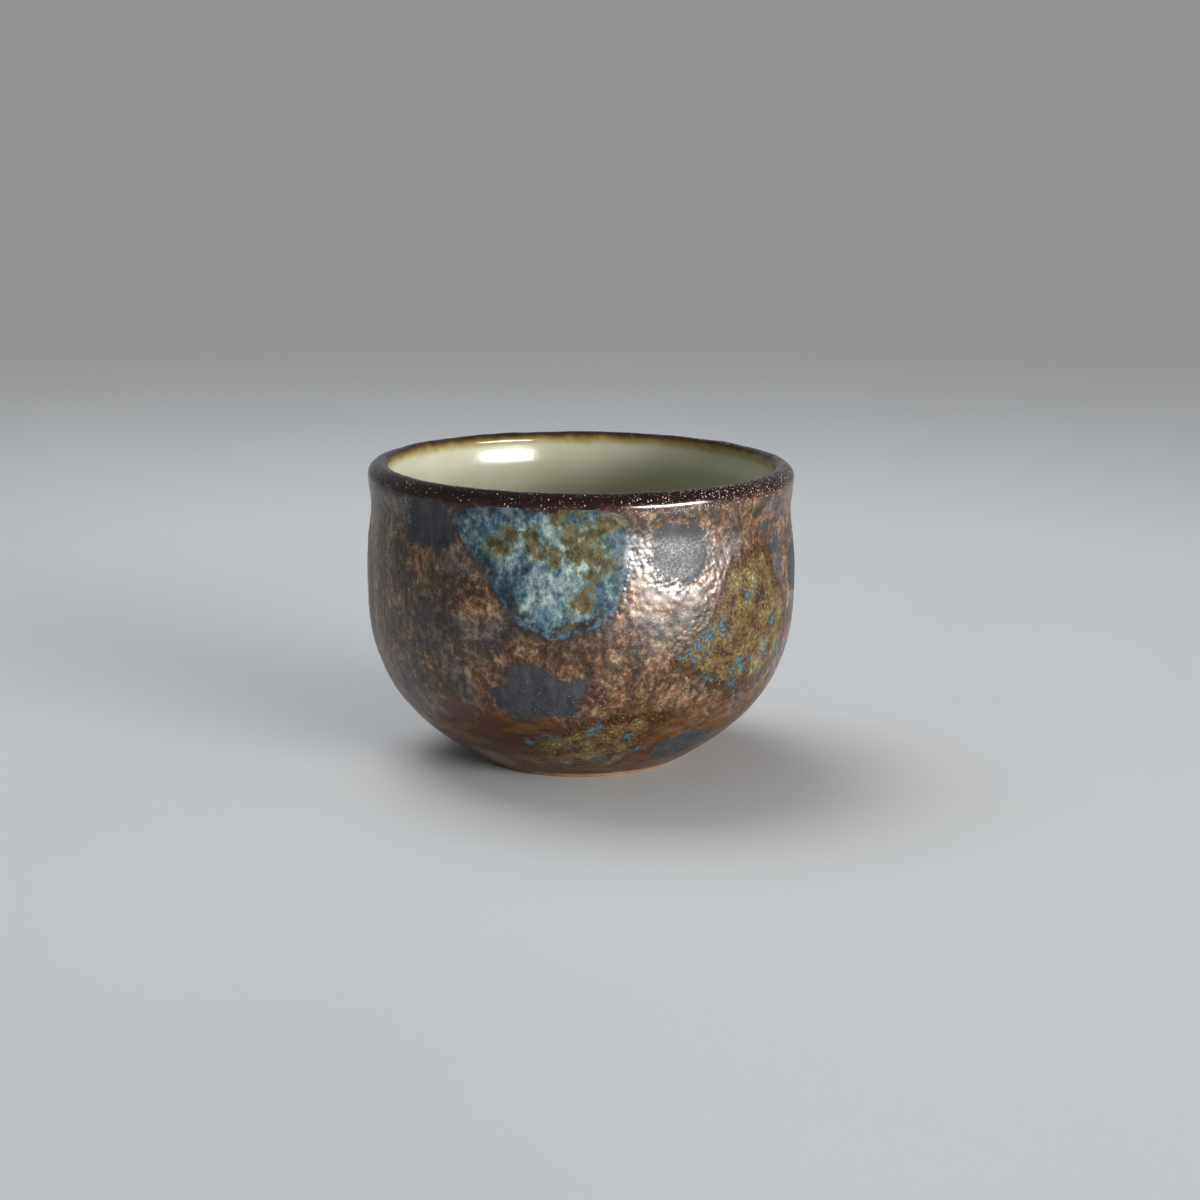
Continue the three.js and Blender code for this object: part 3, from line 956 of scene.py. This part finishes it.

# %% [markdown]
# ### Slate patches
# A smooth, half-matt grey slip glaze with a faint vertical brush mark, pin specks, pale dots of
# painted glint and a slightly ragged edge. Its gloss is speckled by fine noise, or its sheen would look
# like plastic.

# %% Slate
SLATES = [(0.34, (0.028, 0.029, 0.033)), (0.5, (0.044, 0.046, 0.051)), (0.66, (0.07, 0.072, 0.078))]
PIN = (0.022, 0.02, 0.022)
SLATE_PAINTED_GLINT = (0.4, 0.4, 0.4)
slate_finish, tree, shader = new_finish("slate_glaze_finish")
where = object_place(tree)
edge = edge_of(tree, 6.0, 7.0, 0.25)
grey = ramp(tree, noise(tree, stretched(tree, where, (1, 1, 0.35)), 2.6, 5, 0.68), SLATES)
grey = blend(tree, calc(tree, "MULTIPLY", strewn(tree, 1.5, 0.22, 0.2), 0.7), grey, PIN)
# Pale dots of painted glint.
grey = blend(tree, calc(tree, "MULTIPLY", strewn(tree, 1.1, 0.19, 0.16), 0.6), grey, SLATE_PAINTED_GLINT)
mealy = noise(tree, where, 0.6, 3, 0.6)
relief = calc(tree, "MULTIPLY_ADD", mealy, 0.08, 0.05)
gloss = step(tree, mealy, 0.4, 0.64, 0.05, 0.19)
wire_over_coat(tree, shader, edge["Mask"], grey, 0.6, relief, gloss)
print("finish made:", slate_finish.name)

# %% [markdown]
# ### Blue-white cloud patches
# A pale titanium glaze that clouded over the iron: white and ice green where it is thick, steel
# blue and navy where it thins, with olive-brown islands where the iron came through. Where its
# edge is torn, mostly at the bottom, a broken dark band runs along it, with a thin line of blue
# beyond. The bronze coat is darker in a margin beside it.

# %% Cloud: ice and blue
ICE = [
    (0.38, (0.012, 0.024, 0.03)), (0.45, (0.03, 0.06, 0.08)), (0.51, (0.065, 0.115, 0.145)),
    (0.57, (0.145, 0.215, 0.225)), (0.63, (0.26, 0.345, 0.32)), (0.72, (0.46, 0.55, 0.49)),
]
MILK = (0.26, 0.28, 0.33)
STEEL = (0.06, 0.14, 0.22)
TEAL = (0.03, 0.065, 0.075)
cloud_finish, tree, shader = new_finish("cloud_glaze_finish")
where = object_place(tree)
edge = edge_of(tree, 4.2, 3.4, 0.35)
flow = stretched(tree, where, (1, 1, 0.75))
billow = noise(tree, flow, 9.0, 5, 0.6, 0.5)
mottle = noise(tree, flow, 2.1, 4, 0.66)
wisp = swing(tree, flow, 0.9, 3, 0.6)
tone = calc(tree, "MULTIPLY_ADD", billow, 0.5, calc(tree, "MULTIPLY_ADD", mottle, 0.68, -0.09))
tone = calc(tree, "ADD", tone, step(tree, edge["Shaken"], 0.0, 6.0, -0.06, 0.05))
tone = calc(tree, "MULTIPLY_ADD", wisp, 0.24, tone)
tint = noise(tree, where, 6.5, 3)
ice = blend(tree, step(tree, tint, 0.54, 0.66, 0.0, 0.4), ramp(tree, tone, ICE), MILK)
ice = blend(tree, step(tree, tint, 0.46, 0.34, 0.0, 0.4), ice, STEEL)
teal = step(tree, noise(tree, where, 1.5, 3, 0.55), 0.42, 0.34, 0.0, 0.75)
ice = blend(tree, calc(tree, "MULTIPLY", teal, step(tree, billow, 0.6, 0.48)), ice, TEAL)
print("ice:", len(tree.nodes), "nodes")

# %% Cloud: iron islands and torn edge
IRON = [(0.38, (0.03, 0.02, 0.01)), (0.5, (0.085, 0.058, 0.024)), (0.62, (0.16, 0.12, 0.055))]
MOSS = (0.12, 0.135, 0.05)
BURNT = [(0.4, (0.022, 0.012, 0.008)), (0.6, (0.075, 0.05, 0.026))]
BLUE = (0.09, 0.17, 0.23)
broken = calc(tree, "MULTIPLY", swing(tree, where, 3.6, 5, 0.7), 3.6)
spot = calc(tree, "ADD", value_kept(tree, "spot"), broken)
spot = calc(tree, "MULTIPLY_ADD", wisp, 2.2, spot)
clouded = blend(tree, step(tree, spot, -0.05, 0.35, 0.0, 0.8), ice, MOSS)
clouded = blend(tree, step(tree, spot, 0.2, 0.6, 0.0, 0.85), clouded, ramp(tree, mottle, IRON))
lower = step(tree, height_of(tree, where), 60.0, 49.0, -0.04, 0.15)
torn = calc(tree, "ADD", noise(tree, where, 6, 3), lower)
width = step(tree, torn, 0.5, 0.66, 0.0, 2.8)
band = step(tree, calc(tree, "SUBTRACT", edge["Shaken"], width), -0.4, 0.5, 0.92, 0.0)
band = calc(tree, "MULTIPLY", band, step(tree, edge["Shaken"], 0.4, 1.4))
clouded = blend(tree, band, clouded, ramp(tree, mottle, BURNT))
line = calc(tree, "MULTIPLY", step(tree, edge["Shaken"], 1.5, 0.4), step(tree, mottle, 0.42, 0.6, 0.0, 0.7))
line = calc(tree, "MULTIPLY", line, step(tree, torn, 0.5, 0.6))
clouded = blend(tree, line, clouded, BLUE)
relief = calc(tree, "MULTIPLY_ADD", tone, 0.14, 0.08)
# The bronze coat is darkened in a margin up to 2.8 mm outside the patch.
darkened_margin = step(tree, value_kept(tree, "depth"), -2.8, -0.6, 0.0, 0.75)
wire_over_coat(tree, shader, edge["Mask"], clouded, 0.2, relief, 0.2, darkened_margin)
print("finish made:", cloud_finish.name)

# %% [markdown]
# ### Olive patches
# An ash glaze over the iron: ochre and olive with pale green runs, raised grit whose pale tips are
# painted glints, and pools of light blue with teal rims where it gathered. Its edge is a band of dark rust.

# %% Olive
OLIVES = [
    (0.38, (0.018, 0.01, 0.004)), (0.45, (0.065, 0.03, 0.008)), (0.51, (0.13, 0.077, 0.021)),
    (0.56, (0.15, 0.113, 0.037)), (0.61, (0.195, 0.2, 0.095)), (0.68, (0.34, 0.365, 0.24)),
]
RUST = [(0.4, (0.016, 0.007, 0.002)), (0.62, (0.105, 0.043, 0.009))]
POOL = [(0.38, (0.022, 0.052, 0.085)), (0.5, (0.05, 0.11, 0.165)), (0.64, (0.14, 0.225, 0.27))]
POOL_RIM = (0.03, 0.06, 0.055)
OLIVE_PAINTED_GLINT = (0.6, 0.57, 0.42)
olive_finish, tree, shader = new_finish("olive_glaze_finish")
where = object_place(tree)
edge = edge_of(tree, 5.5, 5.0, 1.0)
mealy = noise(tree, where, 0.8, 3, 0.62)
patchy = noise(tree, where, 4.6, 4, 0.62)
tone = calc(tree, "MULTIPLY_ADD", patchy, 0.55, calc(tree, "MULTIPLY", mealy, 0.45))
rust_edge = step(tree, edge["Shaken"], 4.0, 1.6, 0.0, 0.92)
olives = blend(tree, rust_edge, ramp(tree, tone, OLIVES), ramp(tree, mealy, RUST))
broken = calc(tree, "MULTIPLY", swing(tree, where, 1.9, 5, 0.68), 4.4)
spot = calc(tree, "ADD", value_kept(tree, "spot"), broken)
olives = blend(tree, step(tree, spot, 0.5, 0.85, 0.0, 0.75), olives, POOL_RIM)
olives = blend(tree, step(tree, spot, 0.75, 1.1, 0.0, 0.9), olives, ramp(tree, mealy, POOL))
# Pale dots of painted glint on the grit, which also stands a little out in the relief.
painted_glint_dots = strewn(tree, 1.0, 0.18, 0.13)
olives = blend(tree, calc(tree, "MULTIPLY", painted_glint_dots, 0.7), olives, OLIVE_PAINTED_GLINT)
relief = calc(tree, "MULTIPLY_ADD", mealy, 0.16, 0.04)
relief = calc(tree, "MULTIPLY_ADD", painted_glint_dots, 0.06, relief)
wire_over_coat(tree, shader, edge["Mask"], olives, 0.28, relief, 0.2)
print("finish made:", olive_finish.name)

# %% Dress the patches
PATCH_FINISH = {"cloud": cloud_finish, "olive": olive_finish, "slate": slate_finish}
for node, sheet in patches.items():
    glaze = kind_of(node)
    dress(sheet, PATCH_FINISH[glaze], node)

# %% [markdown]
# ### Bare clay
# The foot is unglazed stoneware: matt, warm brown, with sand in it. Its grain is a fine bump, and
# the sand stands a little out of it.

# %% Clay
CLAYS = [(0.3, (0.21, 0.125, 0.075)), (0.5, (0.29, 0.18, 0.11)), (0.7, (0.36, 0.24, 0.155))]
SAND = (0.1, 0.06, 0.04)
clay_finish, tree, shader = new_finish("bare_clay_finish")
where = object_place(tree)
sand = strewn(tree, 0.9, 0.2, 0.2)
body = ramp(tree, noise(tree, where, 5, 5, 0.6), CLAYS)
body = blend(tree, calc(tree, "MULTIPLY", sand, 0.5), body, SAND)
relief = calc(tree, "MULTIPLY", noise(tree, where, 0.5, 3, 0.6), 0.12)
relief = calc(tree, "MULTIPLY_ADD", sand, 0.05, relief)
wire(tree, shader, body, shift(tree, sand, 0.85, 0.7), relief)
dress(clay_body, clay_finish, "clay_body")

# %% [markdown]
# ## Stage, light and camera
# The bowl stands on a pale sweep that rises all round, so that no edge shows from any side. One
# wide soft light stands low in front on the right, as a window would. A lamp at the window's place
# shows only in reflections: it brings the glaze's sheen without more light on the colours. A
# weaker light hangs above, behind on the left, and a dim room fills in the rest. The camera has
# the photograph's view: a long lens, from in front, 12 degrees down.

# %% Sweep
FLOOR_CLEAR = 0.05 * MM
FLOOR_REACH = 1.5
COVE = 0.9
SWEEP_SIDES = 96
PAPER = [(0.3, (0.69, 0.70, 0.71)), (0.7, (0.73, 0.74, 0.75))]
BACKDROP = (0.29, 0.295, 0.30)
sweep_line = [(0.25 * k, 0) for k in range(7)]
for lean in np.linspace(0.1, math.pi / 2, 14):
    sweep_line.append((FLOOR_REACH + COVE * math.sin(lean), COVE - COVE * math.cos(lean)))
sweep_line += [(FLOOR_REACH + COVE, 1.4), (FLOOR_REACH + COVE, 1.9)]
sweep = turn_piece("sweep", np.array(sweep_line, dtype=float) - (0, FLOOR_CLEAR), SWEEP_SIDES)
bpy.ops.object.mode_set(mode="EDIT")
bpy.ops.mesh.select_all(action="SELECT")
bpy.ops.mesh.normals_make_consistent(inside=True)
bpy.ops.object.mode_set(mode="OBJECT")
bpy.ops.object.shade_smooth()
paper, tree, shader = new_finish("pale_paper")
where = object_place(tree)
tree.links.new(ramp(tree, noise(tree, where, 300, 2), PAPER), shader.inputs["Base Color"])
shader.inputs["Roughness"].default_value = 0.9
shader.inputs["Specular IOR Level"].default_value = 0.0
rays = place(tree, "ShaderNodeLightPath").outputs
seen = calc(tree, "MAXIMUM", rays["Is Camera Ray"], rays["Is Glossy Ray"])
seen = calc(tree, "MAXIMUM", seen, rays["Is Transmission Ray"])
away = place(tree, "ShaderNodeVectorMath", {0: where}, operation="LENGTH").outputs["Value"]
plain = place(tree, "ShaderNodeEmission", {"Color": with_alpha(BACKDROP), "Strength": 1.0})
mixed = place(tree, "ShaderNodeMixShader", {0: calc(tree, "MULTIPLY", seen, step(tree, away, 0.3, 1.2))})
tree.links.new(shader.outputs[0], mixed.inputs[1])
tree.links.new(plain.outputs[0], mixed.inputs[2])
tree.links.new(mixed.outputs[0], tree.nodes["Material Output"].inputs["Surface"])
sweep.data.materials.append(paper)

# %% Lights
ROOM_LIGHT = 0.22
world = bpy.data.worlds.new("dim_room")
bpy.context.scene.world = world
world.use_nodes = True
room = world.node_tree.nodes["Background"].inputs
room["Color"].default_value = (0.85, 0.9, 0.95, 1)
room["Strength"].default_value = ROOM_LIGHT


def soft_light(name, stand, aim, size, spread, power, tint, mirrored=True, lights=True):
    lamp = bpy.data.lights.new(name, "AREA")
    lamp.shape = "RECTANGLE"
    lamp.size, lamp.size_y = size
    lamp.energy = power
    lamp.spread = math.radians(spread)
    lamp.color = tint
    holder = bpy.data.objects.new(name, lamp)
    bpy.context.scene.collection.objects.link(holder)
    holder.location = stand
    ahead, aside, up = np.array(aim) - np.array(stand)
    tilt = math.atan2(math.hypot(ahead, aside), -up)
    holder.rotation_euler = (tilt, 0, math.atan2(aside, ahead) - math.pi / 2)
    holder.visible_camera = False
    holder.visible_glossy = mirrored
    holder.visible_diffuse = lights
    print("light:", name, power, "W")


LIP_AIM = (0, 0, 0.1)
FOOT_AIM = (0, 0, 0.04)
soft_light("window", (1.42, -1.26, 0.27), LIP_AIM, (1.4, 0.5), 70, 11.4, (1.0, 0.985, 0.96))
soft_light("gleam", (1.42, -1.26, 0.2), LIP_AIM, (1.3, 0.36), 70, 18.0, (1.0, 1.0, 1.0), lights=False)
soft_light("fill", (-0.5, 0.65, 1.65), FOOT_AIM, (1.4, 1.2), 90, 5.0, (0.96, 0.98, 1.0), mirrored=False)

# %% Camera
LENS = 78.4
SENSOR = 36
LOOK_FROM = (0, -0.724, 0.1973)
LOOK_DOWN = 11.94
LOOK_RIGHT = 0.423
camera_data = bpy.data.cameras.new("photo_view")
camera_data.lens = LENS
camera_data.sensor_width = SENSOR
camera = bpy.data.objects.new("photo_view", camera_data)
bpy.context.scene.collection.objects.link(camera)
camera.location = LOOK_FROM
camera.rotation_euler = (math.radians(90 - LOOK_DOWN), 0, math.radians(-LOOK_RIGHT))
bpy.context.scene.camera = camera
bpy.context.scene.view_settings.view_transform = "Standard"
print("camera:", camera.name, "lens mm", LENS)
